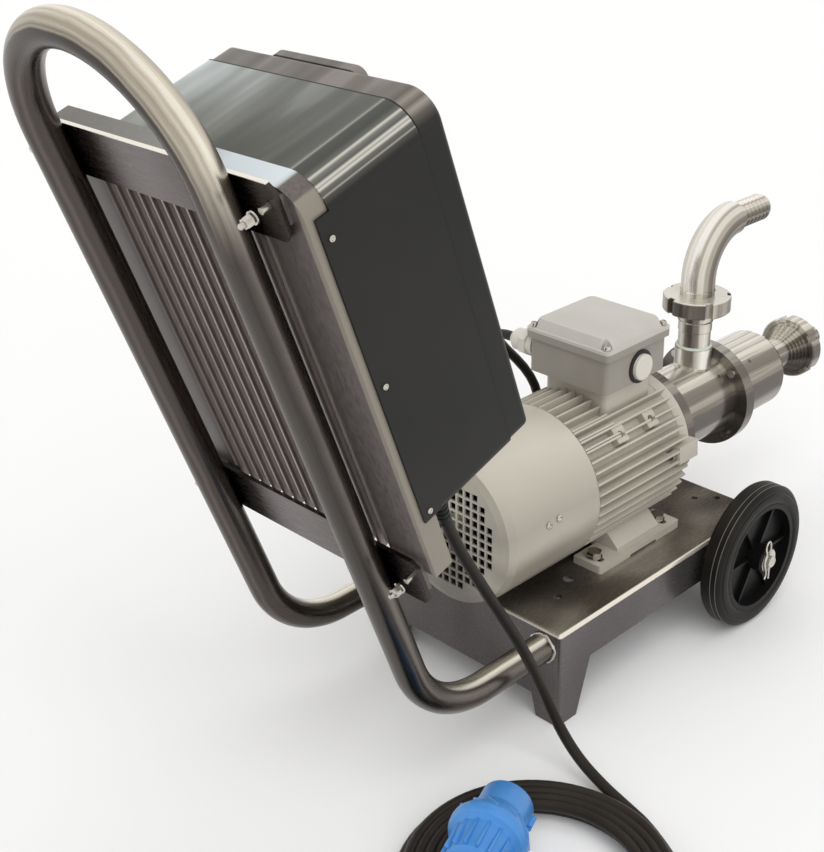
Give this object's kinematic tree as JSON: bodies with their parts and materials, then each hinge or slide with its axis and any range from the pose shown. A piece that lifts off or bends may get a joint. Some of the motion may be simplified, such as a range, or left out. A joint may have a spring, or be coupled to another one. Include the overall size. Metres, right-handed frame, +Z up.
{
  "type": "mobile progressive cavity pump",
  "caption": "Progressive cavity pump with electric motor and tilted inverter on a two-wheel stainless trolley, with bent tube handle, union hose tails and mains lead",
  "frame": {"origin": "Centre of the machine's own extents on the floor, without the mains lead", "axes": "+X forward to the pump inlet, +Y to the machine's left, +Z up"},
  "size_m": [0.9626, 0.5084, 0.684],
  "materials": {
    "stainless": "brushed stainless sheet and tube",
    "bracket_steel": "brushed stainless plate",
    "fastener_steel": "plain stainless",
    "pump_steel": "turned and polished stainless",
    "wheel_rubber": "matte black rubber",
    "wheel_plastic": "black plastic",
    "sink_aluminium": "die cast, satin",
    "inverter_plastic": "dark olive grey satin",
    "key_plastic": "soft touch key",
    "board": "green laminate with parts",
    "gland_plastic": "light grey polyamide",
    "cable_rubber": "matte rubber sheath",
    "motor_paint": "light warm grey enamel",
    "fan_cover_paint": "light warm grey enamel",
    "electrical_steel": "laminated steel",
    "winding": "varnished copper",
    "fan_plastic": "black plastic",
    "stator_rubber": "black food grade rubber",
    "plug_plastic": "blue plastic",
    "plug_brass": "plated brass"
  },
  "bodies": {
    "chassis": {"base_tray": "stainless", "axle_mounts": "stainless", "axle": "fastener_steel", "axle_washers": "fastener_steel", "axle_clips": "fastener_steel", "handle_tube": "stainless", "upper_bracket": "bracket_steel", "lower_bracket": "bracket_steel", "bracket_bolts": "fastener_steel", "bracket_nuts": "fastener_steel", "inverter_heatsink": "sink_aluminium", "inverter_cover": "inverter_plastic", "inverter_front_cap": "inverter_plastic", "keypad_panel": "inverter_plastic", "cover_screws": "fastener_steel", "circuit_board": "board", "mains_gland": "gland_plastic", "motor_cable_glands": "gland_plastic", "motor_cable": "cable_rubber", "motor_frame": "motor_paint", "motor_feet": "motor_paint", "foot_bolts": "fastener_steel", "rear_shield": "motor_paint", "front_shield": "motor_paint", "shield_bolts": "fastener_steel", "stator_core": "electrical_steel", "stator_winding": "winding", "shaft_bearings": "fastener_steel", "fan_cover": "fan_cover_paint", "terminal_box": "motor_paint", "terminal_lid": "motor_paint", "blanking_plug": "gland_plastic", "pump_casing": "pump_steel", "flange_screws": "fastener_steel", "seal_seat": "pump_steel", "pump_stator": "stator_rubber", "stator_housing": "pump_steel", "outlet_pipe": "pump_steel", "outlet_nut": "pump_steel", "outlet_elbow": "pump_steel", "inlet_nut": "pump_steel", "inlet_tail": "pump_steel", "mains_cord": "cable_rubber", "cord_coil": "cable_rubber", "mains_plug": "plug_plastic", "plug_pins": "plug_brass"},
    "left_wheel": {"left_tyre": "wheel_rubber", "left_rim": "wheel_plastic"},
    "right_wheel": {"right_tyre": "wheel_rubber", "right_rim": "wheel_plastic"},
    "drive": {"motor_shaft": "pump_steel", "rotor_core": "electrical_steel", "cooling_fan": "fan_plastic", "seal_ring": "pump_steel"},
    "rod": {"coupling_rod": "pump_steel"},
    "screw": {"pump_rotor": "pump_steel"},
    "run_key": {"key_run": "key_plastic"},
    "stop_key": {"key_stop": "key_plastic"},
    "up_key": {"key_up": "key_plastic"},
    "down_key": {"key_down": "key_plastic"}
  },
  "joints": [
    {"name": "left_wheel_spin", "type": "hinge", "parent": "chassis", "child": "left_wheel", "pos_m": [0.1668, 0.136, 0.075], "axis": [0, 1, 0], "continuous": true},
    {"name": "right_wheel_spin", "type": "hinge", "parent": "chassis", "child": "right_wheel", "pos_m": [0.1668, -0.136, 0.075], "axis": [0, 1, 0], "continuous": true},
    {"name": "motor_spin", "type": "hinge", "parent": "chassis", "child": "drive", "pos_m": [0.0433, 0, 0.179], "axis": [1, 0, 0], "continuous": true},
    {"name": "rod_orbit", "type": "hinge", "parent": "chassis", "child": "rod", "pos_m": [0.2333, 0, 0.179], "axis": [1, 0, 0], "continuous": true},
    {"name": "rotor_spin", "type": "hinge", "parent": "rod", "child": "screw", "pos_m": [0.3133, 0, 0.183], "axis": [1, 0, 0], "continuous": true},
    {"name": "run_press", "type": "slide", "parent": "chassis", "child": "run_key", "axis": [-0.9397, 0, -0.342], "range_m": [0, 0.001], "stiffness_N_per_m": 400, "springref_m": -0.001},
    {"name": "stop_press", "type": "slide", "parent": "chassis", "child": "stop_key", "axis": [-0.9397, 0, -0.342], "range_m": [0, 0.001], "stiffness_N_per_m": 400, "springref_m": -0.001},
    {"name": "up_press", "type": "slide", "parent": "chassis", "child": "up_key", "axis": [-0.9397, 0, -0.342], "range_m": [0, 0.001], "stiffness_N_per_m": 400, "springref_m": -0.001},
    {"name": "down_press", "type": "slide", "parent": "chassis", "child": "down_key", "axis": [-0.9397, 0, -0.342], "range_m": [0, 0.001], "stiffness_N_per_m": 400, "springref_m": -0.001}
  ],
  "couplings": [
    {"joint": "rod_orbit", "follows": "motor_spin", "ratio": -1},
    {"joint": "rotor_spin", "follows": "motor_spin", "ratio": 2}
  ]
}
